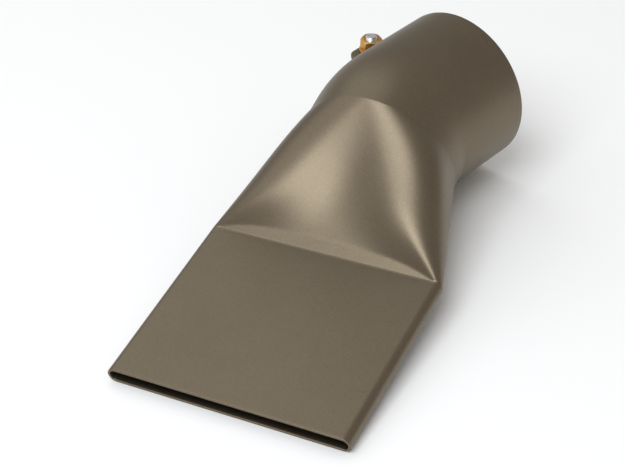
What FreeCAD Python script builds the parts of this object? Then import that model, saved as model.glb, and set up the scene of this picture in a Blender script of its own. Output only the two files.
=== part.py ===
import FreeCAD, Part
import math
import os
from FreeCAD import Rotation, Vector

# A wide slot nozzle for hot air, formed from one steel tube. One end is pressed flat into
# a wide slot. The other end has a slight elbow, sharp on the inner side and round on the
# outer side, and a straight collar that slides over a round heater pipe. The collar is
# slit on one side. Two bent lugs and one bolt with a nut close the slit, so that the
# collar grips the pipe.
# All lengths are in millimetres and all angles in degrees.
# The nozzle is drawn with X across the slot, Y from the mouth to the tube and Z up from
# the flat, and it is then laid down the way it comes to rest on a table.

# Tube
tube_diameter = 64.0        # outside
wall = 1.0

# Slot: the flat end, as wide as the tube's own circumference allows
slot_height = 6.5           # outside
flat_length = 79.0

# Transition from the slot to the round tube
transition_length = 52.0
tube_lift = 9.7             # height of the tube's axis over the slot's mid plane
tube_rise = 8.4             # slope of the tube's axis
bowl_depth = 3.0            # the top sinks in between its two ridges
dimple_depth = 1.8          # and a little more behind each corner of the flat
dimple_reach = 45.0         # how far from the corner the dimple runs
dimple_start = 10.0         # direction in which it starts, from the crease inwards

# Elbow and collar, measured to the corner where the two axes meet
round_length = 14.2         # from the transition to the corner
elbow_angle = 22.5
elbow_turn = 45.0           # the elbow leans this far from straight down, to the right
elbow_inner_radius = 2.0    # of the sheet's outside, on the inner side of the elbow
collar_length = 42.0        # from the corner to the rim

# Slit of the collar and the lugs beside it
slit_turn = -87.0           # place on the collar, an angle from its top to the right
slit_gap = 5.0
slit_length = 25.0
lug_sheet = 1.5
lug_width = 19.0            # along the collar
lug_inset = 0.5             # from the rim to the lug
lug_reach = 12.5            # how far the ear stands out of the collar
lug_corner = 4.0
lug_bend = 0.8
lug_foot_angle = 16.0       # how far the foot reaches round the collar
bolt_stand = 7.5            # from the collar's outside to the bolt's axis

# Bolt, washers and nut, metric 5
bolt_diameter = 5.0
bolt_length = 16.0
bolt_tip_chamfer = 0.5
head_height = 3.5
hex_flats = 8.0
hex_chamfer_slope = 30.0    # between the chamfer and the end face
nut_height = 4.7
nut_turn = 20.0
washer_diameter = 10.0
washer_thickness = 1.0
washer_play = 0.15          # between bolt and washer, on the radius
hole_play = 0.25            # between bolt and lug, on the radius

# Points that carry the sunken top, and faces that share a rounded quarter
ray_steps = 5               # from the corner of the flat to the middle
fan_steps = 6               # from the crease to the ridge
wedge_count = 6

# Worked out from the sizes above
tube_radius = tube_diameter / 2
slot_half = slot_height / 2
flat_half = math.pi * (tube_radius - slot_half) / 2
tube_axis = Vector(0, math.cos(math.radians(tube_rise)), math.sin(math.radians(tube_rise)))
tube_up = Vector(0, -tube_axis.z, tube_axis.y)
ring_centre = Vector(0, flat_length + transition_length, tube_lift)
elbow_corner = ring_centre + tube_axis * round_length
elbow_radius = tube_radius + elbow_inner_radius
elbow_tangent = elbow_radius * math.tan(math.radians(elbow_angle / 2))


def elbow_lean():
    """Direction in which the elbow turns, square to the tube's axis."""
    turn = math.radians(elbow_turn)
    return Vector(1, 0, 0) * math.sin(turn) - tube_up * math.cos(turn)


def turned_axis():
    """Direction of the collar, from the elbow to its rim."""
    bend = math.radians(elbow_angle)
    return tube_axis * math.cos(bend) + elbow_lean() * math.sin(bend)


collar_axis = turned_axis()
rim_centre = elbow_corner + collar_axis * collar_length


def crease_spot(hand, side, angle, inset):
    """Point of the slot's section at the crease, on the rounded edge of one hand."""
    radius = slot_half - inset
    across = hand * (flat_half + radius * math.sin(angle))
    return Vector(across, flat_length, side * radius * math.cos(angle))


def ring_spot(hand, side, angle, inset):
    """Point of the round section where the transition ends."""
    radius = tube_radius - inset
    across = Vector(hand * radius * math.sin(angle), 0, 0)
    return ring_centre + across + tube_up * (side * radius * math.cos(angle))


def wedge_arc(spot, hand, side, step, inset):
    """One of the equal arcs that share a rounded quarter of a section."""
    angles = [math.pi / 2 * (step + part) / wedge_count for part in (0, 0.5, 1)]
    return Part.Arc(*[spot(hand, side, angle, inset) for angle in angles]).toShape()


def cone_wedge(hand, side, step, inset):
    """Part of a rounded quarter, straight from the slot's edge to the tube."""
    low = wedge_arc(crease_spot, hand, side, step, inset)
    high = wedge_arc(ring_spot, hand, side, step, inset)
    return Part.makeRuledSurface(low, high)


def broad_corners(hand, side, inset):
    """Ends of half a broad side: the flat's corner, the crease's middle, the tube."""
    corner = crease_spot(hand, side, 0, inset)
    return corner, Vector(0, corner.y, corner.z), ring_spot(hand, side, 0, inset)


def under_half(hand, inset):
    """Half of the transition's underside, a plain triangle."""
    corner, middle, tip = broad_corners(hand, -1, inset)
    return Part.Face(Part.makePolygon([corner, middle, tip, corner]))


def swell(share, rise, fall):
    """Rises from 0 at share 0 up to 1 and dies out smoothly at share 1."""
    if not 0 < share < 1:
        return 0.0
    top = rise / (rise + fall)
    return (share / top) ** rise * ((1 - share) / (1 - top)) ** fall


def bowl(share, way):
    """Depth of the bowl, by the share from corner to middle and the way to the tube."""
    if way >= 1:
        return 0.0
    aside = (1 - share) / (1 - way)
    return bowl_depth * swell(way, 2, 3) * (1 - aside ** 1.5) ** 2


def dimple(inward, along, slope):
    """Depth of the dimple, by the distances from the flat's corner."""
    far = math.hypot(inward, along) / dimple_reach
    ridge = math.degrees(math.atan2(slope, flat_half))
    part = (math.degrees(math.atan2(along, inward)) - dimple_start) / (ridge - dimple_start)
    return dimple_depth * swell(far, 1, 2) * swell(part, 2, 3)


def top_half(hand, inset):
    """Half of the transition's top: a triangle with the bowl and the dimple sunk into it.

    Its rays run from the corner of the flat to the middle line, and fan out from the
    crease to the ridge.
    """
    corner, middle, tip = broad_corners(hand, 1, inset)
    rise = tip - middle
    down = rise.cross(Vector(-1, 0, 0)).normalize()
    rays = []
    shares = [step / ray_steps for step in range(ray_steps + 1)]
    fans = [step / fan_steps for step in range(fan_steps + 1)]
    for fan in fans:
        end = middle + rise * fan
        points = []
        for share in shares:
            depth = bowl(share, fan * share)
            depth += dimple(flat_half * share, rise.Length * fan * share, rise.Length)
            points.append(corner + (end - corner) * share + down * depth)
        ray = Part.BSplineCurve()
        ray.interpolate(Points=points, Parameters=shares)
        rays.append(ray)
    across = Part.BSplineCurve()
    grid = []
    for column in list(zip(*[ray.getPoles() for ray in rays]))[1:]:
        across.interpolate(Points=list(column), Parameters=fans)
        grid.append(across.getPoles())
    grid.insert(0, [corner] * len(grid[0]))
    surface = Part.BSplineSurface()
    surface.buildFromPolesMultsKnots(
        grid,
        rays[0].getMultiplicities(),
        across.getMultiplicities(),
        rays[0].getKnots(),
        across.getKnots(),
        False,
        False,
        rays[0].Degree,
        across.Degree,
    )
    return surface.toShape()


def section_face(spot, inset):
    """Flat face over a section of the transition, at the crease or at the ring."""
    edges = []
    for side in (1, -1):
        for hand in (1, -1):
            edges += [wedge_arc(spot, hand, side, step, inset) for step in range(wedge_count)]
            end = spot(hand, side, 0, inset)
            middle = Vector(0, end.y, end.z)
            if end.distanceToPoint(middle) > wall:
                edges.append(Part.makeLine(middle, end))
    return Part.Face(Part.Wire(Part.__sortEdges__(edges)))


def transition_form(inset):
    """Solid of the transition between its two flat sections."""
    faces = [section_face(crease_spot, inset), section_face(ring_spot, inset)]
    for hand in (1, -1):
        faces += [top_half(hand, inset), under_half(hand, inset)]
        for side in (1, -1):
            faces += [cone_wedge(hand, side, step, inset) for step in range(wedge_count)]
    shell = Part.Shell(faces)
    shell.sewShape()
    return Part.Solid(shell)


def elbow_form(inset):
    """Solid of the elbow: a disc swung round the inner side."""
    start = elbow_corner - tube_axis * elbow_tangent
    disc = Part.Face(Part.Wire(Part.makeCircle(tube_radius - inset, start, tube_axis)))
    pivot = start + elbow_lean() * elbow_radius
    return disc.revolve(pivot, tube_axis.cross(elbow_lean()), elbow_angle)


def nozzle_form(inset, extra):
    """Solid inside the nozzle's skin, or inside its bore when inset by the wall."""
    radius = tube_radius - inset
    flat = section_face(crease_spot, inset).extrude(Vector(0, -flat_length - extra, 0))
    stub = Part.makeCylinder(radius, round_length - elbow_tangent, ring_centre, tube_axis)
    start = elbow_corner + collar_axis * elbow_tangent
    sleeve = Part.makeCylinder(radius, collar_length - elbow_tangent + extra, start, collar_axis)
    return flat.fuse([transition_form(inset), stub, elbow_form(inset), sleeve])


def collar_placement():
    """Frame at the rim: Z out of the collar, X through the slit."""
    top = Vector(0, 0, 1) - collar_axis * collar_axis.z
    top.normalize()
    right = collar_axis.cross(top)
    place = math.radians(slit_turn)
    slit_way = top * math.cos(place) + right * math.sin(place)
    turn = Rotation(slit_way, collar_axis.cross(slit_way), collar_axis, "ZXY")
    return FreeCAD.Placement(rim_centre, turn)


def slit():
    """What the slit takes out of the collar, in the rim's frame, with a round end."""
    half = slit_gap / 2
    box = Part.makeBox(tube_diameter, slit_gap, slit_length, Vector(0, -half, -slit_length))
    end = Part.makeCylinder(half, tube_diameter, Vector(0, 0, -slit_length), Vector(1, 0, 0))
    return box.fuse(end)


def nozzle_body():
    """The formed tube, open at the mouth and at the rim, with the collar's slit."""
    shell = nozzle_form(0, 0).cut(nozzle_form(wall, wall))
    return shell.cut(at_rim(slit())).removeSplitter()


def ear_edges(lug):
    """The two outer corners of the ear, as edges that run through its sheet."""
    tip = tube_radius + lug_reach
    found = []
    for edge in lug.Edges:
        ends = [vertex.Point for vertex in edge.Vertexes]
        if len(ends) == 2 and all(abs(end.x - tip) < 1e-6 for end in ends):
            if abs(ends[0].z - ends[1].z) < 1e-6:
                found.append(edge)
    return found


def bend_edges(lug):
    """The inner corner between the ear and the foot."""
    level = slit_gap / 2 + lug_sheet
    radius = tube_radius + lug_sheet
    found = []
    for edge in lug.Edges:
        ends = [vertex.Point for vertex in edge.Vertexes]
        on_ear = all(abs(end.y - level) < 1e-6 for end in ends)
        on_foot = all(abs(math.hypot(end.x, end.y) - radius) < 1e-6 for end in ends)
        if len(ends) == 2 and on_ear and on_foot:
            found.append(edge)
    return found


def lug():
    """Upper lug in the rim's frame: an ear beside the slit and a foot on the collar."""
    low = -lug_inset - lug_width
    outer = tube_radius + lug_sheet
    tip = tube_radius + lug_reach
    start = Vector(0, 0, low)
    ear = Part.makeBox(tip, lug_sheet, lug_width, Vector(0, slit_gap / 2, low))
    first = math.degrees(math.asin(slit_gap / 2 / tube_radius))
    foot = Part.makeCylinder(outer, lug_width, start, Vector(0, 0, 1), first + lug_foot_angle)
    below = Part.makeBox(2 * tip, tip, 2 * lug_width, Vector(-tip, slit_gap / 2 - tip, low))
    foot = foot.cut(below)
    bracket = ear.fuse(foot).cut(Part.makeCylinder(tube_radius, lug_width, start))
    bracket = bracket.removeSplitter()
    bracket = bracket.makeFillet(lug_corner, ear_edges(bracket))
    bracket = bracket.makeFillet(lug_bend, bend_edges(bracket))
    hole = Part.makeCylinder(
        bolt_diameter / 2 + hole_play, 2 * tube_radius, bolt_foot(0), Vector(0, 1, 0)
    )
    return bracket.cut(hole)


def bolt_foot(height):
    """Point on the bolt's axis, at a height over the middle of the slit."""
    along = -lug_inset - lug_width / 2
    return Vector(tube_radius + bolt_stand, height, along)


def hex_block(base, height, turn, chamfers):
    """Hexagonal block along Y, with its corners taken off at the low or the high end."""
    corner = hex_flats / math.sqrt(3)
    points = []
    for step in range(7):
        angle = math.radians(60 * step + turn)
        points.append(base + Vector(corner * math.cos(angle), 0, corner * math.sin(angle)))
    block = Part.Face(Part.makePolygon(points)).extrude(Vector(0, height, 0))
    seat = hex_flats / 2
    wide = seat + height / math.tan(math.radians(hex_chamfer_slope))
    way = Vector(0, 1, 0)
    if "low" in chamfers:
        block = block.common(Part.makeCone(seat, wide, height, base, way))
    if "high" in chamfers:
        block = block.common(Part.makeCone(wide, seat, height, base, way))
    return block


def stack_height():
    """From the middle of the slit to the outside of a washer."""
    return slit_gap / 2 + lug_sheet + washer_thickness


def bolt():
    """Hex bolt from below, with its head against the lower washer."""
    under = -stack_height()
    head = hex_block(bolt_foot(under - head_height), head_height, 0, ("low",))
    radius = bolt_diameter / 2
    way = Vector(0, 1, 0)
    straight = bolt_length - bolt_tip_chamfer
    shank = Part.makeCylinder(radius, straight, bolt_foot(under), way)
    tip = Part.makeCone(
        radius, radius - bolt_tip_chamfer, bolt_tip_chamfer, bolt_foot(under + straight), way
    )
    return head.fuse([shank, tip]).removeSplitter()


def nut():
    """Hex nut on the upper washer."""
    base = bolt_foot(stack_height())
    block = hex_block(base, nut_height, nut_turn, ("low", "high"))
    return block.cut(Part.makeCylinder(bolt_diameter / 2, nut_height, base, Vector(0, 1, 0)))


def washer(base):
    """Flat washer that starts at the given height over the middle of the slit."""
    way = Vector(0, 1, 0)
    disc = Part.makeCylinder(washer_diameter / 2, washer_thickness, bolt_foot(base), way)
    hole = bolt_diameter / 2 + washer_play
    return disc.cut(Part.makeCylinder(hole, washer_thickness, bolt_foot(base), way))


def mirrored_lug():
    """Lower lug: the upper one mirrored across the slit."""
    return lug().mirror(Vector(0, 0, 0), Vector(0, 1, 0))


def rest_angle():
    """Turn about X that lets the mouth's lower lip and the underside touch a table."""
    belly = ring_centre - tube_up * tube_radius
    down = collar_axis * collar_axis.z - Vector(0, 0, 1)
    rim = rim_centre + down.normalize() * tube_radius
    drops = [math.atan2(-slot_half - low.z, low.y) for low in (belly, rim)]
    return math.degrees(max(drops))


def laid_down(shape):
    """Move a shape from the nozzle's frame to its rest, with the rim's centre as origin."""
    turn = Rotation(Vector(1, 0, 0), rest_angle())
    rest = FreeCAD.Placement(turn.multVec(rim_centre * -1), turn)
    moved = shape.copy()
    moved.Placement = rest.multiply(moved.Placement)
    return moved


def at_rim(shape):
    """Move a shape from the rim's frame into the nozzle's frame."""
    moved = shape.copy()
    moved.Placement = collar_placement().multiply(moved.Placement)
    return moved


def single(shape):
    """The one solid that a shape holds."""
    return shape.Solids[0] if len(shape.Solids) == 1 else shape


upper_washer_base = slit_gap / 2 + lug_sheet
nodes = {
    "nozzle_body": nozzle_body(),
    "upper_lug": at_rim(lug()),
    "lower_lug": at_rim(mirrored_lug()),
    "clamp_bolt": at_rim(bolt()),
    "clamp_nut": at_rim(nut()),
    "upper_washer": at_rim(washer(upper_washer_base)),
    "lower_washer": at_rim(washer(-upper_washer_base - washer_thickness)),
}

os.makedirs("parts", exist_ok=True)
for name, shape in nodes.items():
    piece = single(laid_down(shape))
    piece.exportStep("parts/" + name + ".step")
    box = piece.BoundBox
    print(name, piece.ShapeType, piece.isValid(), round(piece.Volume, 1),
          [round(v, 2) for v in (box.XMin, box.YMin, box.ZMin, box.XMax, box.YMax, box.ZMax)])
print("rest angle", round(rest_angle(), 3))
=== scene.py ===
# %% [markdown]
# # A flat air nozzle
# This file dresses the plain model of a slot nozzle for hot air. On the real one, a steel
# tube is pressed flat at one end, bent slightly behind the pressed part and blasted with
# fine beads. A slit collar with two lugs, a bolt and a nut clamps it on a heater pipe.
# The plain model is loaded first, and everything else is set against it.

# %% Load the plain model
import bmesh
import bpy
import math
from mathutils import Matrix, Vector


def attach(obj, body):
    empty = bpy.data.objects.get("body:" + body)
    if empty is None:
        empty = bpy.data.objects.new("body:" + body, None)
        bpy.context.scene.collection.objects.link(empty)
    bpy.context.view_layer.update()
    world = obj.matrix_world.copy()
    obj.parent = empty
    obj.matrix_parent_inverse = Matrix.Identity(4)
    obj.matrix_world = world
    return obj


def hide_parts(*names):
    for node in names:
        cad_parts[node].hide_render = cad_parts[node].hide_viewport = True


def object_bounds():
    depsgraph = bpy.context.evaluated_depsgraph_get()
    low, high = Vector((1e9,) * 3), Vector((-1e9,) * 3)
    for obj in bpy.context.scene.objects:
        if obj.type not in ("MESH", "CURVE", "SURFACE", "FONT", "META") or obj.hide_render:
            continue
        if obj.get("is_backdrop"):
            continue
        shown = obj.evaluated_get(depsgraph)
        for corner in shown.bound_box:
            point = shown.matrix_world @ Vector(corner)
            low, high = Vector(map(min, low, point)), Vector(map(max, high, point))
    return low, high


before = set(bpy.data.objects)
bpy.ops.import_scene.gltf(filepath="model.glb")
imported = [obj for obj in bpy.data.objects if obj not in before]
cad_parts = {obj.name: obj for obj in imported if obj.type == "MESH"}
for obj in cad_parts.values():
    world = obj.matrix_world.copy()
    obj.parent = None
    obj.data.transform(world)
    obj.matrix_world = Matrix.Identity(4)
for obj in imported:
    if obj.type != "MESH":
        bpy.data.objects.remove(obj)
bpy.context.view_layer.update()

# %% [markdown]
# ## Sizes
# The sheet is formed from a tube, so a few sizes carry the whole shape. They are the
# sizes of the plain model, with X across the slot, Y from the mouth to the tube and Z up
# from the flat. Lengths are in millimetres, and angles are turned into radians, as
# Blender wants them. The sizes could be measured on the loaded mesh, but the forming
# needs what lies behind the mesh, such as the slope of the tube.

# %% Sizes of the formed tube
MM = 0.001
QUARTER_TURN = math.pi / 2
TUBE_RADIUS = 32.0
WALL = 1.0
SLOT_HALF = 3.25
FLAT_LENGTH = 79.0
TRANSITION_LENGTH = 52.0
TUBE_LIFT = 9.7
TUBE_RISE = math.radians(8.4)
ROUND_LENGTH = 14.2
COLLAR_LENGTH = 42.0
ELBOW_ANGLE = math.radians(22.5)
ELBOW_TURN = math.radians(45.0)
ELBOW_INNER_RADIUS = 2.0
ELBOW_RADIUS = TUBE_RADIUS + ELBOW_INNER_RADIUS
HALF_BEND = ELBOW_RADIUS * math.tan(ELBOW_ANGLE / 2)
STUB = ROUND_LENGTH - HALF_BEND
SLEEVE = COLLAR_LENGTH - HALF_BEND
print("straight tube before the elbow", round(STUB, 2), "and after it", round(SLEEVE, 2))

# %% Where the elbow turns, where the rim is and how the nozzle lies
tube_axis = Vector((0, math.cos(TUBE_RISE), math.sin(TUBE_RISE)))
tube_up = Vector((0, -tube_axis.z, tube_axis.y))
ring_centre = Vector((0, FLAT_LENGTH + TRANSITION_LENGTH, TUBE_LIFT))
elbow_lean = Vector((math.sin(ELBOW_TURN), 0, 0)) - tube_up * math.cos(ELBOW_TURN)
elbow_pivot = ring_centre + tube_axis * STUB + elbow_lean * ELBOW_RADIUS
elbow_hinge = tube_axis.cross(elbow_lean)
collar_axis = tube_axis * math.cos(ELBOW_ANGLE) + elbow_lean * math.sin(ELBOW_ANGLE)
rim_centre = ring_centre + tube_axis * ROUND_LENGTH + collar_axis * COLLAR_LENGTH
belly = ring_centre - tube_up * TUBE_RADIUS
REST_TURN = math.atan2(-SLOT_HALF - belly.z, belly.y)
print("lies turned by", round(math.degrees(REST_TURN), 2), "degrees, rim at", rim_centre)

# %% [markdown]
# ## Arithmetic as nodes
# A pressed sheet follows a formula, and Geometry Nodes can hold that formula. Placing
# some hundred Math nodes by hand is tiring, so a small class does it: it stands for a
# number in the tree, and ordinary arithmetic on it adds the node. The script then reads
# like the formula itself.

# %% A number inside a node tree
class Number:
    """A number in a node tree. Arithmetic on it adds Math nodes."""

    def __init__(self, tree, socket):
        self.tree, self.socket = tree, socket

    def math(self, operation, *others):
        """Adds a Math node that starts from this number."""
        node = self.tree.nodes.new("ShaderNodeMath")
        node.operation = operation
        for slot, value in zip(node.inputs, (self,) + others):
            if isinstance(value, Number):
                self.tree.links.new(value.socket, slot)
            else:
                slot.default_value = value
        return Number(self.tree, node.outputs[0])

    def __add__(self, other):
        return self.math("ADD", other)

    def __sub__(self, other):
        return self.math("SUBTRACT", other)

    def __mul__(self, other):
        return self.math("MULTIPLY", other)

    def __truediv__(self, other):
        return self.math("DIVIDE", other)

    def __pow__(self, power):
        return self.math("POWER", power)

    def __rsub__(self, other):
        return self * -1.0 + other

    __radd__, __rmul__ = __add__, __mul__

    def held(self, low, high):
        """The number, kept between two others."""
        return self.math("MAXIMUM", low).math("MINIMUM", high)


# %% [markdown]
# ## The blank
# The real nozzle starts as a piece of round tube. Here it starts as a flat blank whose
# points don't lie in space yet: X is the place round the tube, Y the way from the mouth
# to the rim and Z the depth in the wall. A ready-made cylinder could be pressed too, but
# its even rows would miss the folds. This blank's rows crowd together where the sheet
# folds, and its columns where the slot's edge is tight. It is one closed skin, so the
# pressed sheet has an outside, an inside and two rounded lips.

# %% Rows and columns of the blank
LIP = 0.3
HALF_ROUND = math.pi * TUBE_RADIUS
CREASE = FLAT_LENGTH
RING = CREASE + TRANSITION_LENGTH
BEND_START = RING + STUB
BEND_END = BEND_START + ELBOW_RADIUS * ELBOW_ANGLE
RIM = BEND_END + SLEEVE


def stops(marks):
    """Places from the first mark to the last. A mark is a place and the step after it."""
    places = [marks[0][0]]
    for (start, step), (end, _) in zip(marks, marks[1:]):
        count = max(1, round((end - start) / step))
        places += [start + (end - start) * k / count for k in range(1, count + 1)]
    return places


one_side = stops([(0, 0.9), (44, 0.5), (57, 0.9), (HALF_ROUND, 1)])
round_places = [-place for place in one_side[:0:-1]] + one_side[:-1]
rows = stops([(LIP, 0.8), (1.5, 3.5), (75, 1.5), (CREASE - 1.4, 0.35), (CREASE + 1.4, 0.45),
              (CREASE + 9, 0.8), (RING - 1.2, 0.9), (RING - 0.3, 0.3),
              (RING + 0.3, 0.3), (RING + 1.2, 2.0), (BEND_START, 0.9), (BEND_END, 2.5),
              (RIM - LIP, 1)])
print("columns", len(round_places), "rows", len(rows))

# %% Blank mesh
LIP_STEPS = 4


def lip_turn(way, depth, turn_from):
    """Rows round a lip's corner, as pairs of way and depth."""
    found = []
    for k in range(1, LIP_STEPS):
        angle = math.radians(turn_from + 90 * k / LIP_STEPS)
        found.append((way + LIP * math.cos(angle), depth + LIP * math.sin(angle)))
    return found


def nozzle_blank():
    """Closed skin: out along the outside, round the rim, back inside, round the mouth."""
    loop = [(way, 0.0) for way in rows]
    loop += lip_turn(RIM - LIP, LIP, -90) + [(RIM, LIP), (RIM, WALL - LIP)]
    loop += lip_turn(RIM - LIP, WALL - LIP, 0)
    loop += [(way, WALL) for way in reversed(rows)]
    loop += lip_turn(LIP, WALL - LIP, 90) + [(0, WALL - LIP), (0, LIP)]
    loop += lip_turn(LIP, LIP, 180)
    columns = len(round_places)
    points = [(place, way, depth) for way, depth in loop for place in round_places]
    faces = []
    for i in range(len(loop)):
        row, next_row = i * columns, (i + 1) % len(loop) * columns
        for j in range(columns):
            k = (j + 1) % columns
            faces.append((row + j, row + k, next_row + k, next_row + j))
    mesh = bpy.data.meshes.new("blank")
    mesh.from_pydata(points, [], faces)
    return bpy.data.objects.new("nozzle_blank", mesh)


blank = nozzle_blank()
bpy.context.scene.collection.objects.link(blank)
print("blank", len(blank.data.vertices), "points")

# %% [markdown]
# ## The press
# The tree below bends the blank as the press does. The sheet doesn't stretch, so each
# section keeps the tube's circumference: the straight part shrinks while the rounded
# ends open, until only the round tube is left. Sculpting or a lattice could give a
# similar shape, but neither keeps the circumference, and that rule is what makes the
# slot as wide as it is. The two ridges between the flat triangle and the rounded sides
# come out of it by themselves.
#
# A few softer forms come on top. The ridges are drawn in and swell up behind the flat's
# corners, where the press pinches the sheet most, and the sheet between them bows down
# like a bowl. A narrow strip behind the crease, shaped like a lens, stays straight.
# Before the ring the sheet keeps a full shoulder on both sides, more on the right, where
# the elbow crowds it. The flat springs back into a very slight dome when the press
# opens. Every size is a named input, so the tree can press other nozzles too.

# %% Inputs of the press
PRESS_SIZES = {
    "Tube radius": TUBE_RADIUS,
    "Slot half height": SLOT_HALF,
    "Flat length": FLAT_LENGTH,
    "Transition length": TRANSITION_LENGTH,
    "Tube lift": TUBE_LIFT,
    "Tube rise": TUBE_RISE,
    "Stub length": STUB,
    "Bend length": BEND_END - BEND_START,
    "Elbow angle": ELBOW_ANGLE,
    "Crease softness": 0.022,
    "Flat dome": 0.7,
    "Strip share": 0.08,
    "Ridge pull": 5.2,
    "Hollow depth": 3.2,
    "Hollow depth below": 1.0,
    "Left shoulder": 0.8,
    "Right shoulder": 1.7,
    "Rest turn": REST_TURN,
}
PRESS_PLACES = {
    "Elbow pivot": tuple(elbow_pivot),
    "Elbow hinge": tuple(elbow_hinge),
    "Rim centre": tuple(rim_centre),
}


def empty_press():
    """Tree with its named inputs, the node that gives them, and the sizes as Numbers."""
    tree = bpy.data.node_groups.new("press_the_nozzle", "GeometryNodeTree")
    face = tree.interface
    face.new_socket("Geometry", in_out="INPUT", socket_type="NodeSocketGeometry")
    for name in PRESS_SIZES:
        face.new_socket(name, in_out="INPUT", socket_type="NodeSocketFloat")
    for name in PRESS_PLACES:
        face.new_socket(name, in_out="INPUT", socket_type="NodeSocketVector")
    face.new_socket("Finish", in_out="INPUT", socket_type="NodeSocketMaterial")
    face.new_socket("Geometry", in_out="OUTPUT", socket_type="NodeSocketGeometry")
    given = tree.nodes.new("NodeGroupInput")
    return tree, given, {name: Number(tree, given.outputs[name]) for name in PRESS_SIZES}


print("the press has", len(PRESS_SIZES), "sizes and", len(PRESS_PLACES), "places")

# %% [markdown]
# ## The soft forms
# Each of them grows from nothing, has one highest place and dies out again, so that it
# leaves no edge where it starts or ends. One curve does that for all of them: two powers
# say how steeply it rises and how slowly it falls. The powers were found by comparing
# the shading of renders with the photograph.

# %% Curve of the soft forms
RIDGE_POWERS = (1.0, 4.0)
BOWL_POWERS = (0.9, 2.8)
SHOULDER_POWERS = (2.4, 0.9)
DOME_POWERS = (1.5, 1.0)
BOWL_EDGE_POWER = 2.1
STRIP_END_POWER = 4.0


def swell(share, powers):
    """Grows from 0 at share 0 up to 1 and dies out again at share 1."""
    rise, fall = powers
    top = rise / (rise + fall)
    return (share / top) ** rise * ((1.0 - share) / (1.0 - top)) ** fall


print("ridges are highest", RIDGE_POWERS[0] / sum(RIDGE_POWERS), "of the way to the ring")

# %% Bowl, shoulders and dome
def bowl(size, past_strip, aside, under):
    """Depth of the hollow, from the middle line (aside 0) to the ridge (aside 1)."""
    depth = size["Hollow depth"] * (1.0 - under) + size["Hollow depth below"] * under
    return depth * swell(past_strip, BOWL_POWERS) * (1.0 - aside * aside) ** BOWL_EDGE_POWER


def shoulder(size, share, place, under, sine, cosine):
    """Fullness of the rounded side, most halfway round its corner."""
    on_right = place.math("GREATER_THAN", 0.0)
    full = size["Left shoulder"] * (1.0 - on_right) + size["Right shoulder"] * on_right
    full = full * (1.0 - under) * swell(share, SHOULDER_POWERS)
    return full * (sine * cosine * 2.0) ** 2.0


def flat_dome(size, way, across_flat, under):
    """Height of the dome on the flat's top."""
    flat_share = (way / size["Flat length"]).held(0.0, 1.0)
    dome = size["Flat dome"] * (1.0 - under) * swell(flat_share, DOME_POWERS)
    return dome * (1.0 - across_flat * across_flat)


# %% [markdown]
# ## The section at each row
# The formula first finds where a point of the blank lies: its share says how far the
# section has opened, 0 on the flat and 1 at the ring, and its fold is the way along the
# sheet from the middle line of the top or the underside. Up to the end of the straight
# part the point lies on a level line, and past it the sheet turns round the corner. The
# share eases in a little at the crease, because sheet never folds quite sharply.

# %% Where a point of the blank lies
def spot_on_sheet(size, place, way):
    """Share, then 1 on the underside, then 1 or -1 for top or underside, then fold."""
    share = (way - size["Flat length"]) / size["Transition length"]
    share = share.math("SMOOTH_MAX", 0.0, size["Crease softness"]).math("MINIMUM", 1.0)
    away = place.math("ABSOLUTE")
    under = away.math("GREATER_THAN", size["Tube radius"] * QUARTER_TURN)
    side = 1.0 - under * 2.0
    fold = away * side + under * size["Tube radius"] * math.pi
    return share, under, side, fold


def middle_slope(size, side, rise, run):
    """Way, height and length of the line from the crease to the ring."""
    slope_way = size["Transition length"] - side * rise * size["Tube radius"]
    slope_up = size["Tube lift"] + side * (run * size["Tube radius"] - size["Slot half height"])
    return slope_way, slope_up, (slope_way ** 2.0 + slope_up ** 2.0).math("SQRT")


def past_ring(size, way):
    """Straight tube behind the ring, without the elbow's own length."""
    ring = size["Flat length"] + size["Transition length"]
    bend_end = ring + size["Stub length"] + size["Bend length"]
    before = (way - ring).held(0.0, size["Stub length"])
    return before + (way - bend_end).math("MAXIMUM", 0.0)


# %% The pressed section
def pressed_section(size, place, way, depth):
    """Across, along and up of a point in the nozzle's own frame, before the elbow."""
    share, under, side, fold = spot_on_sheet(size, place, way)
    rest = 1.0 - share
    flat_half = (size["Tube radius"] - size["Slot half height"]) * QUARTER_TURN
    across_flat = (fold / flat_half).held(0.0, 1.0)
    strip = size["Strip share"] * (1.0 - across_flat ** STRIP_END_POWER)
    past_strip = ((share - strip) / (1.0 - strip)).held(0.0, 1.0)

    # The ridges are drawn in, and what they give up swells the corner.
    pull = size["Ridge pull"] * swell(past_strip, RIDGE_POWERS) * (1.0 - under)
    swollen = pull * (2 / math.pi)
    straight = rest * flat_half - pull
    corner = rest * size["Slot half height"] + share * size["Tube radius"]
    angle = (fold - straight).math("MAXIMUM", 0.0) / (corner + swollen)
    sine, cosine = angle.math("SINE"), angle.math("COSINE")
    lift = side * cosine
    full = shoulder(size, share, place, under, sine, cosine)
    reach = fold.math("MINIMUM", straight) + (corner + swollen - depth) * sine
    reach = reach + (pull - swollen) * sine ** 3.0
    reach = reach + full * sine

    # Each point runs straight from the flat to its place on the sloping ring.
    rise, run = size["Tube rise"].math("SINE"), size["Tube rise"].math("COSINE")
    ring_lift = (size["Tube radius"] - depth) * lift
    ring_way = size["Flat length"] + size["Transition length"] - rise * ring_lift
    along = rest * way.math("MINIMUM", size["Flat length"]) + share * ring_way
    up = (rest * (size["Slot half height"] - depth) + swollen + full) * lift
    up = up + share * (size["Tube lift"] + run * ring_lift)
    up = up + flat_dome(size, way, across_flat, under)

    # The bowl sinks square to the slope.
    slope_way, slope_up, slope = middle_slope(size, side, rise, run)
    sunk = bowl(size, past_strip, (fold / straight).held(0.0, 1.0), under)
    along = along + sunk * side * slope_up / slope
    up = up - sunk * side * slope_way / slope
    past = past_ring(size, way)
    return reach * place.math("SIGN"), along + past * run, up + past * rise


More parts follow.
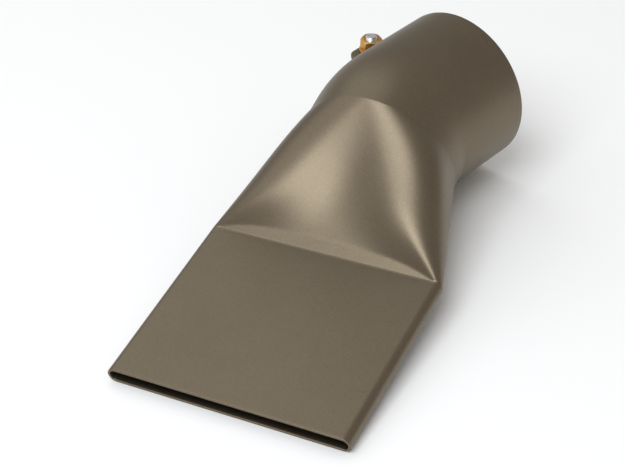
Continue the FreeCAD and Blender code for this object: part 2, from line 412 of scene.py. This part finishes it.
# %% [markdown]
# ## The whole press
# The elbow is a turn about a line beside the tube, which grows from nothing to its full
# angle over the bend. The last steps bring the rim's centre to the origin, lay the
# nozzle down on the table and turn millimetres into metres.

# %% Build the tree
def end_of_press(tree, given, geometry):
    """Real meshes with their finish, because the export drops instances."""
    real = tree.nodes.new("GeometryNodeRealizeInstances")
    finish = tree.nodes.new("GeometryNodeSetMaterial")
    result = tree.nodes.new("NodeGroupOutput")
    tree.links.new(geometry, real.inputs[0])
    tree.links.new(real.outputs[0], finish.inputs["Geometry"])
    tree.links.new(given.outputs["Finish"], finish.inputs["Material"])
    tree.links.new(finish.outputs[0], result.inputs[0])


def press_tree():
    tree, given, size = empty_press()
    nodes, link = tree.nodes, tree.links.new
    where = nodes.new("GeometryNodeInputPosition")
    parts = nodes.new("ShaderNodeSeparateXYZ")
    link(where.outputs[0], parts.inputs[0])
    place, way, depth = (Number(tree, socket) for socket in parts.outputs)
    point = nodes.new("ShaderNodeCombineXYZ")
    for value, slot in zip(pressed_section(size, place, way, depth), point.inputs):
        link(value.socket, slot)
    bend_start = size["Flat length"] + size["Transition length"] + size["Stub length"]
    bend = ((way - bend_start) / size["Bend length"]).held(0.0, 1.0) * size["Elbow angle"]
    elbow = nodes.new("ShaderNodeVectorRotate")
    elbow.rotation_type = "AXIS_ANGLE"
    link(point.outputs[0], elbow.inputs["Vector"])
    link(given.outputs["Elbow pivot"], elbow.inputs["Center"])
    link(given.outputs["Elbow hinge"], elbow.inputs["Axis"])
    link(bend.socket, elbow.inputs["Angle"])
    home = nodes.new("ShaderNodeVectorMath")
    home.operation = "SUBTRACT"
    link(elbow.outputs[0], home.inputs[0])
    link(given.outputs["Rim centre"], home.inputs[1])
    lie = nodes.new("ShaderNodeVectorRotate")
    lie.rotation_type = "X_AXIS"
    link(home.outputs[0], lie.inputs["Vector"])
    link(size["Rest turn"].socket, lie.inputs["Angle"])
    metres = nodes.new("ShaderNodeVectorMath")
    metres.operation = "SCALE"
    metres.inputs["Scale"].default_value = MM
    link(lie.outputs[0], metres.inputs[0])
    moved = nodes.new("GeometryNodeSetPosition")
    link(given.outputs["Geometry"], moved.inputs["Geometry"])
    link(metres.outputs[0], moved.inputs["Position"])
    end_of_press(tree, given, moved.outputs[0])
    return tree


press = press_tree()
print("press tree", len(press.nodes), "nodes")

# %% [markdown]
# ## Finishes
# The nozzle is stainless steel blasted with fine beads: matt, slightly brown, with a
# grain that can just be felt. One colour alone would look like paint, so the grain is a
# bump of two sizes, and the tone and the roughness drift a little over the sheet. A
# picture of blasted steel could be wrapped round the nozzle instead, but noise that
# fills space needs no wrapping and has no seam. The bolt has bright clear zinc and the
# nut yellow zinc, both with thin clouds in their colour.

# %% Node helpers for the finishes
def add_node(tree, kind, **values):
    """Adds a node, and sets its settings and its input sockets by name."""
    node = tree.nodes.new(kind)
    for name, value in values.items():
        label = name.replace("_", " ").capitalize()
        if label in node.inputs:
            node.inputs[label].default_value = value
        else:
            setattr(node, name, value)
    return node


def noise(tree, spot, scale, detail=2.0, roughness=0.5):
    cloud = add_node(tree, "ShaderNodeTexNoise", scale=scale, detail=detail, roughness=roughness)
    tree.links.new(spot, cloud.inputs["Vector"])
    return cloud.outputs["Fac"]


NOISE_LOW, NOISE_HIGH = 0.3, 0.7    # noise seldom leaves this range


def ramp(tree, value, first, last, low=NOISE_LOW, high=NOISE_HIGH):
    """From the first grey or colour to the last, as the value goes from low to high."""
    node = tree.nodes.new("ShaderNodeValToRGB")
    for element, place, colour in zip(node.color_ramp.elements, (low, high), (first, last)):
        element.position = place
        element.color = (*colour, 1.0) if isinstance(colour, tuple) else (colour,) * 3 + (1.0,)
    tree.links.new(value, node.inputs[0])
    return node.outputs[0]


def bump(tree, height, strength, distance, normal=None):
    node = add_node(tree, "ShaderNodeBump", strength=strength, distance=distance)
    tree.links.new(height, node.inputs["Height"])
    if normal:
        tree.links.new(normal, node.inputs["Normal"])
    return node.outputs[0]


def new_finish(name):
    """Bare metal: its material, tree and shader, and the place on the object."""
    material = bpy.data.materials.new(name)
    material.use_nodes = True
    tree = material.node_tree
    shader = tree.nodes["Principled BSDF"]
    shader.inputs["Metallic"].default_value = 1.0
    spot = tree.nodes.new("ShaderNodeTexCoord").outputs["Object"]
    return material, tree, shader, spot


# %% Bead-blasted steel
STEEL_DARK = (0.174, 0.142, 0.099, 1.0)
STEEL_LIGHT = (0.192, 0.158, 0.113, 1.0)
STEEL_ROUGHNESS = (0.40, 0.45)
SPECK_SHADES = (0.86, 1.14)
CLOUDS, COARSE_GRAIN, FINE_GRAIN = 28.0, 900.0, 2600.0
COLOUR_A, COLOUR_B, MIXED_COLOUR = 6, 7, 2      # colour sockets of a Mix node


def blasted_steel():
    material, tree, shader, spot = new_finish("blasted_steel")
    link = tree.links.new
    cloud = noise(tree, spot, CLOUDS, detail=3.0, roughness=0.6)
    speck = noise(tree, spot, FINE_GRAIN, roughness=0.6)
    tone = add_node(tree, "ShaderNodeMix", data_type="RGBA")
    link(ramp(tree, cloud, 0.0, 1.0), tone.inputs["Factor"])
    tone.inputs[COLOUR_A].default_value = STEEL_DARK
    tone.inputs[COLOUR_B].default_value = STEEL_LIGHT
    grain = add_node(tree, "ShaderNodeMix", data_type="RGBA", blend_type="MULTIPLY")
    grain.inputs["Factor"].default_value = 1.0
    link(tone.outputs[MIXED_COLOUR], grain.inputs[COLOUR_A])
    link(ramp(tree, speck, *SPECK_SHADES), grain.inputs[COLOUR_B])
    link(grain.outputs[MIXED_COLOUR], shader.inputs["Base Color"])
    link(ramp(tree, cloud, *STEEL_ROUGHNESS), shader.inputs["Roughness"])
    pits = noise(tree, spot, COARSE_GRAIN)
    coarse = bump(tree, pits, strength=0.35, distance=0.04 * MM)
    fine = bump(tree, speck, strength=0.5, distance=0.03 * MM, normal=coarse)
    link(fine, shader.inputs["Normal"])
    return material


steel = blasted_steel()
print(steel.name, len(steel.node_tree.nodes), "nodes")

# %% Zinc on the bolt, the nut and the washers
ZINC_ROUGHNESS = (0.32, 0.44)
ZINC_CLOUDS, ZINC_DULLING, ZINC_GRAIN = 420.0, 900.0, 5200.0


def zinc(name, pale, deep):
    material, tree, shader, spot = new_finish(name)
    cloud = noise(tree, spot, ZINC_CLOUDS, detail=3.0, roughness=0.6)
    colour = ramp(tree, cloud, pale, deep, low=0.35, high=0.65)
    tree.links.new(colour, shader.inputs["Base Color"])
    rough = ramp(tree, noise(tree, spot, ZINC_DULLING), *ZINC_ROUGHNESS)
    tree.links.new(rough, shader.inputs["Roughness"])
    grain = bump(tree, noise(tree, spot, ZINC_GRAIN), strength=0.3, distance=0.02 * MM)
    tree.links.new(grain, shader.inputs["Normal"])
    return material


clear_zinc = zinc("clear_zinc", pale=(0.68, 0.71, 0.73), deep=(0.55, 0.59, 0.62))
yellow_zinc = zinc("yellow_zinc", pale=(0.66, 0.39, 0.11), deep=(0.54, 0.27, 0.07))
print("finishes", clear_zinc.name, yellow_zinc.name)

# %% [markdown]
# ## From a tree to a finished piece
# The tree goes on the blank as a modifier. Its inputs are set before the blank is
# evaluated, by the sockets' identifiers, which is how a modifier keeps them. The
# modifier could stay on the piece, but a plain mesh is simpler to move and to export, so
# the result becomes one and the modifier goes. A finished piece stands at the origin,
# rides on the plain model's only body and takes the place of its node.

# %% Helpers for finished pieces
def run_tree(thing, tree, values):
    modifier = thing.modifiers.new("tree", "NODES")
    modifier.node_group = tree
    for item in tree.interface.items_tree:
        if item.in_out == "INPUT" and item.name in values:
            modifier[item.identifier] = values[item.name]


def kept_mesh(thing, name):
    """Plain mesh of the evaluated object; the object itself goes."""
    bpy.context.view_layer.update()
    seen = thing.evaluated_get(bpy.context.evaluated_depsgraph_get())
    mesh = bpy.data.meshes.new_from_object(seen)
    mesh.name = name
    bpy.data.objects.remove(thing)
    return mesh


def finished(name, mesh, finish, node, smooth=35):
    """Puts a finished piece in the scene in place of its node."""
    mesh.materials.clear()
    mesh.materials.append(finish)
    mesh.shade_smooth()
    mesh.set_sharp_from_angle(angle=math.radians(smooth))
    piece = bpy.data.objects.new(name, mesh)
    bpy.context.scene.collection.objects.link(piece)
    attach(piece, "root")
    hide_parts(node)
    print(name, len(mesh.polygons), "faces")


# %% [markdown]
# ## The rim as a workbench
# The slit sits on the collar, and so do the bolt, its nut and its washers, and the collar
# leans two ways. Placing each of them in space would take the same turns again and
# again. So they are drawn in the rim's own frame, in millimetres, and turned once: X
# points out of the slit, Y across it along the bolt, and Z out of the rim.

# %% Frame of the rim
SLIT_TURN = math.radians(-87.0)
rest_turn = Matrix.Rotation(REST_TURN, 4, "X")
top_way = (Vector((0, 0, 1)) - collar_axis * collar_axis.z).normalized()
right_way = collar_axis.cross(top_way)
slit_way = top_way * math.cos(SLIT_TURN) + right_way * math.sin(SLIT_TURN)
rim_axes = Matrix((slit_way, collar_axis.cross(slit_way), collar_axis)).transposed()
at_rim = rest_turn @ rim_axes.to_4x4() @ Matrix.Scale(MM, 4)
print("slit opens towards", rest_turn @ slit_way)

# %% [markdown]
# ## The slit
# The collar is cut open between the two lugs, so that the bolt can close it on the pipe.
# The cut ends round, which keeps it from tearing. Faces could be left out of the blank
# instead, but its rows and columns wouldn't follow the round end. So the slit is cut
# after the forming, here as on the real one: a long bar with a round end is taken out of
# the pressed sheet.

# %% Cut the slit
SLIT_GAP = 5.0
SLIT_LENGTH = 25.0
BAR_PAST_RIM = 5.0
BAR_NEAR, BAR_FAR = 12.0, 52.0      # from the collar's axis, one on each side of the wall
BAR_END_STEPS = 16


def slit_bar():
    """Bar with a round end, in the rim's frame, through the wall on one side."""
    tool = bmesh.new()
    half = SLIT_GAP / 2
    outline = [(half, BAR_PAST_RIM), (-half, BAR_PAST_RIM)]
    for k in range(BAR_END_STEPS + 1):
        angle = math.pi + math.pi * k / BAR_END_STEPS
        outline.append((half * math.cos(angle), -SLIT_LENGTH + half * math.sin(angle)))
    face = tool.faces.new([tool.verts.new((BAR_NEAR, side, up)) for side, up in outline])
    grown = bmesh.ops.extrude_face_region(tool, geom=[face])
    ends = [v for v in grown["geom"] if isinstance(v, bmesh.types.BMVert)]
    bmesh.ops.translate(tool, vec=(BAR_FAR - BAR_NEAR, 0, 0), verts=ends)
    bmesh.ops.recalc_face_normals(tool, faces=tool.faces)
    mesh = bpy.data.meshes.new("slit_bar")
    tool.to_mesh(mesh)
    tool.free()
    mesh.transform(at_rim)
    return bpy.data.objects.new("slit_bar", mesh)


run_tree(blank, press, {**PRESS_SIZES, **PRESS_PLACES, "Finish": steel})
bar = slit_bar()
bpy.context.scene.collection.objects.link(bar)
saw = blank.modifiers.new("saw", "BOOLEAN")
saw.operation, saw.solver, saw.object = "DIFFERENCE", "EXACT", bar
body_mesh = kept_mesh(blank, "formed_tube")
bpy.data.objects.remove(bar)
finished("formed_tube", body_mesh, steel, "nozzle_body", smooth=50)

# %% [markdown]
# ## Lugs
# The two lugs are cut from sheet and bent. They could be drawn again here, but their
# solids already have the right shape, and only the edges are too sharp: a real edge is
# broken a little, and the thin bright line on it is what makes the sheet look solid. So
# each lug is a copy of its solid's mesh with merged points and a small bevel.

# %% Break the edges of a solid's copy
BROKEN_EDGE = 0.18 * MM
SAME_POINT = 0.002 * MM
FLAT_ANGLE, SHARP_ANGLE = math.radians(1.0), math.radians(40)


def broken_edges(node):
    tool = bmesh.new()
    tool.from_mesh(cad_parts[node].data)
    tool.transform(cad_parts[node].matrix_world)
    bmesh.ops.remove_doubles(tool, verts=tool.verts, dist=SAME_POINT)
    bmesh.ops.dissolve_limit(tool, angle_limit=FLAT_ANGLE, verts=tool.verts, edges=tool.edges)
    sharp = [edge for edge in tool.edges if edge.calc_face_angle(0) > SHARP_ANGLE]
    bmesh.ops.bevel(tool, geom=sharp, offset=BROKEN_EDGE, segments=2, profile=0.5,
                    affect="EDGES", clamp_overlap=True)
    mesh = bpy.data.meshes.new(node + "_broken")
    tool.to_mesh(mesh)
    tool.free()
    return mesh


for lug in ("upper_lug", "lower_lug"):
    finished(lug + "_sheet", broken_edges(lug), steel, lug)

# %% [markdown]
# ## Washers, nut and bolt
# A metric 5 bolt closes the collar, with one washer under its head and one under the
# nut. All four are round an axis, so one helper makes them: it sweeps rows round the
# bolt's axis. A row is a radius and a height, or a function of the angle that gives
# both. The hexagon is a row whose radius follows the flats, and its chamfer falls away
# outside a circle. The thread is rows whose radius follows the pitch. Cylinders with
# bevels and a Screw modifier could make them too, but those would have to be joined, and
# the sweep gives one closed mesh.

# %% Sweep rows round the bolt's axis
BOLT_STAND = 7.5                    # from the collar's outside to the bolt's axis
LUG_INSET, LUG_WIDTH = 0.5, 19.0    # from the rim to a lug, and along the collar
BOLT_PLACE = Vector((TUBE_RADIUS + BOLT_STAND, 0, -LUG_INSET - LUG_WIDTH / 2))
COLUMNS = 72


def swept(name, rows_round, closed):
    """Closed rows make a ring; open ones end in a flat face at both ends."""
    points, faces = [], []
    for row in rows_round:
        for k in range(COLUMNS):
            angle = math.tau * k / COLUMNS
            radius, height = row(angle) if callable(row) else row
            way = Vector((radius * math.cos(angle), height, radius * math.sin(angle)))
            points.append(BOLT_PLACE + way)
    count = len(rows_round)
    for i in range(count if closed else count - 1):
        for k in range(COLUMNS):
            a, b, n = i * COLUMNS, (i + 1) % count * COLUMNS, (k + 1) % COLUMNS
            faces.append((a + k, b + k, b + n, a + n))
    if not closed:
        faces.append(tuple(range(COLUMNS)))
        faces.append(tuple(reversed(range((count - 1) * COLUMNS, count * COLUMNS))))
    mesh = bpy.data.meshes.new(name)
    mesh.from_pydata(points, [], faces)
    mesh.transform(at_rim)
    tool = bmesh.new()
    tool.from_mesh(mesh)
    bmesh.ops.recalc_face_normals(tool, faces=tool.faces)
    tool.to_mesh(mesh)
    tool.free()
    return mesh


print("bolt stands at", at_rim @ BOLT_PLACE)

# %% Washers
LUG_SHEET = 1.5
SEAT = SLIT_GAP / 2 + LUG_SHEET     # from the slit's middle to a lug's outer face
WASHER_THICKNESS = 1.0
WASHER_INNER, WASHER_OUTER, WASHER_CORNER = 2.65, 5.0, 0.15


def washer_rows(base):
    """Round the washer's section, with a small radius at each of its four corners."""
    top = base + WASHER_THICKNESS
    profile = []
    for radius, height, turn in ((WASHER_OUTER, top, 0), (WASHER_INNER, top, 90),
                                 (WASHER_INNER, base, 180), (WASHER_OUTER, base, 270)):
        middle_r = radius + (WASHER_CORNER if radius == WASHER_INNER else -WASHER_CORNER)
        middle_h = height + (WASHER_CORNER if height == base else -WASHER_CORNER)
        for k in range(4):
            angle = math.radians(turn + 30 * k)
            profile.append((middle_r + WASHER_CORNER * math.cos(angle),
                            middle_h + WASHER_CORNER * math.sin(angle)))
    return profile


lower_base = -SEAT - WASHER_THICKNESS
finished("upper_washer_plate", swept("upper_washer_plate", washer_rows(SEAT), True),
         yellow_zinc, "upper_washer")
finished("lower_washer_plate", swept("lower_washer_plate", washer_rows(lower_base), True),
         clear_zinc, "lower_washer")

# %% Hexagons of the nut and the bolt's head
HEX_HALF = 4.0                      # half the width across flats
CHAMFER_RADIUS = 3.95               # the chamfer falls away outside this circle
CHAMFER_SLOPE = math.tan(math.radians(30))
FACE_RADIUS = 3.9
THREAD_HOLE = 2.5
NUT_HEIGHT = 4.7
NUT_TURN = math.radians(20.0)


def hexagon(turn, height, chamfer_way, shrink=0.0):
    """Row that follows the six flats, with the chamfer taken off its height."""
    def row(angle):
        part = (angle - turn) % (math.pi / 3) - math.pi / 6
        radius = (HEX_HALF - shrink) / math.cos(part)
        fall = max(radius - CHAMFER_RADIUS, 0.0) * CHAMFER_SLOPE
        return radius, height - chamfer_way * fall
    return row


def nut_rows(base):
    """From the bore over the lower face, up the flats and back to the bore."""
    # Two rows close together at each end of the flats keep the chamfer's edge crisp.
    top = base + NUT_HEIGHT
    lower_face = [(THREAD_HOLE, base), (FACE_RADIUS, base)]
    flats = [hexagon(NUT_TURN, base + 0.02, -1), hexagon(NUT_TURN, base + 0.12, -1),
             hexagon(NUT_TURN, top - 0.12, 1), hexagon(NUT_TURN, top - 0.02, 1)]
    upper_face = [(FACE_RADIUS, top), (THREAD_HOLE + 0.4, top), (THREAD_HOLE, top - 0.4)]
    return lower_face + flats + upper_face


finished("clamp_nut_turned", swept("clamp_nut_turned", nut_rows(SEAT + WASHER_THICKNESS), True),
         yellow_zinc, "clamp_nut", smooth=30)

# %% Bolt with its thread
BOLT_LENGTH, HEAD_HEIGHT = 16.0, 3.5
THREAD_RADIUS, THREAD_DEPTH, THREAD_PITCH = 2.49, 0.45, 0.8
GROOVE_STEEPNESS = 2.3
THREAD_STEP = 0.08


def thread(height):
    """Row of the thread: the radius falls and rises once for each pitch."""
    def row(angle):
        phase = (height / THREAD_PITCH - angle / math.tau) % 1.0
        groove = max(0.0, 1.0 - abs(phase - 0.5) * GROOVE_STEEPNESS)
        return THREAD_RADIUS - THREAD_DEPTH * groove, height
    return row


def bolt_rows():
    """From the head's lower face up its flats, along the thread and to the tip."""
    under = lower_base              # the head's upper face, against the lower washer
    low, tip = under - HEAD_HEIGHT, under + BOLT_LENGTH
    head = [(0.6, low), (FACE_RADIUS, low),
            hexagon(0.0, low + 0.02, -1), hexagon(0.0, low + 0.14, -1),
            hexagon(0.0, under - 0.1, 1), hexagon(0.0, under - 0.02, 1, shrink=0.05)]
    neck = [(2.6, under), (THREAD_RADIUS, under + 0.1), (2.3, under + 0.45)]
    turns = [thread(height) for height in stops([(under + 0.6, THREAD_STEP), (tip - 0.6, 1)])]
    point = [(2.05, tip - 0.3), (1.85, tip - 0.02), (0.5, tip)]
    return head + neck + turns + point


finished("clamp_bolt_turned", swept("clamp_bolt_turned", bolt_rows(), False),
         clear_zinc, "clamp_bolt", smooth=30)

# %% [markdown]
# ## Floor and light
# The nozzle lies on a pale floor. One large soft lamp stands in front, so that the
# transition's slope is the brightest part, and a weaker one at the side keeps the
# edges readable. Small lamps would also light it, but blasted steel needs something
# large to mirror softly. The lamps are slightly cool and the surroundings slightly
# warm, and together they leave the floor white.

# %% Floor
FLOOR_HALF = 6.0


def floor():
    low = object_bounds()[0].z
    mesh = bpy.data.meshes.new("floor")
    mesh.from_pydata([(-FLOOR_HALF, -FLOOR_HALF, low), (FLOOR_HALF, -FLOOR_HALF, low),
                      (FLOOR_HALF, FLOOR_HALF, low), (-FLOOR_HALF, FLOOR_HALF, low)],
                     [], [(0, 1, 2, 3)])
    plane = bpy.data.objects.new("floor", mesh)
    bpy.context.scene.collection.objects.link(plane)
    material = bpy.data.materials.new("floor_white")
    material.use_nodes = True
    shader = material.node_tree.nodes["Principled BSDF"]
    shader.inputs["Base Color"].default_value = (0.95, 0.95, 0.95, 1.0)
    shader.inputs["Roughness"].default_value = 0.9
    mesh.materials.append(material)
    plane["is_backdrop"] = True
    print("floor at", low)


floor()

# %% World and lamps
LAMP_COLOUR = (0.92, 0.955, 1.0)
LAMP_AIM = (-0.01, -0.1, 0)

world = bpy.data.worlds.new("studio")
world.use_nodes = True
background = world.node_tree.nodes["Background"]
background.inputs["Color"].default_value = (1.0, 0.97, 0.925, 1.0)
background.inputs["Strength"].default_value = 0.48
bpy.context.scene.world = world


def soft_lamp(name, place, size, power):
    """Square lamp that looks at the nozzle."""
    data = bpy.data.lights.new(name, "AREA")
    data.size, data.energy, data.color = size, power, LAMP_COLOUR
    lamp = bpy.data.objects.new(name, data)
    way = Vector(LAMP_AIM) - Vector(place)
    lamp.matrix_world = (Matrix.Translation(Vector(place))
                         @ way.to_track_quat("-Z", "Y").to_matrix().to_4x4())
    bpy.context.scene.collection.objects.link(lamp)
    print(name, "stands", round(way.length, 2), "m away")


soft_lamp("front_lamp", (-0.01, -0.96, 1.23), size=1.0, power=14.6)
soft_lamp("side_lamp", (-0.86, 0.05, 1.23), size=1.6, power=6.5)

# %% [markdown]
# ## Camera
# The camera stands where the photograph was taken from. It could be aimed by eye, but
# the outline only fits when the distance and the lens fit too, so both come from fitting
# a pinhole camera to the nozzle's corners and edges in the photograph.

# %% Camera
CAMERA_AIM = Vector((-0.017356, -0.101260, -0.014062))
CAMERA_DISTANCE = 0.62617
CAMERA_LENS, CAMERA_SENSOR = 95.7457, 36.0
AZIMUTH, ELEVATION, ROLL = (math.radians(v) for v in (29.192, 35.984, -4.0))

back = Vector((math.sin(AZIMUTH) * math.cos(ELEVATION),
               -math.cos(AZIMUTH) * math.cos(ELEVATION), math.sin(ELEVATION)))
level = Vector((math.cos(AZIMUTH), math.sin(AZIMUTH), 0))
upright = back.cross(level)
right = level * math.cos(ROLL) + upright * math.sin(ROLL)
turned = Matrix((right, back.cross(right), back)).transposed().to_4x4()
camera_data = bpy.data.cameras.new("camera")
camera_data.lens, camera_data.sensor_width = CAMERA_LENS, CAMERA_SENSOR
camera = bpy.data.objects.new("camera", camera_data)
camera.matrix_world = Matrix.Translation(CAMERA_AIM + back * CAMERA_DISTANCE) @ turned
bpy.context.scene.collection.objects.link(camera)
bpy.context.scene.camera = camera
bpy.context.scene.view_settings.view_transform = "Standard"
print("camera at", camera.matrix_world.translation)
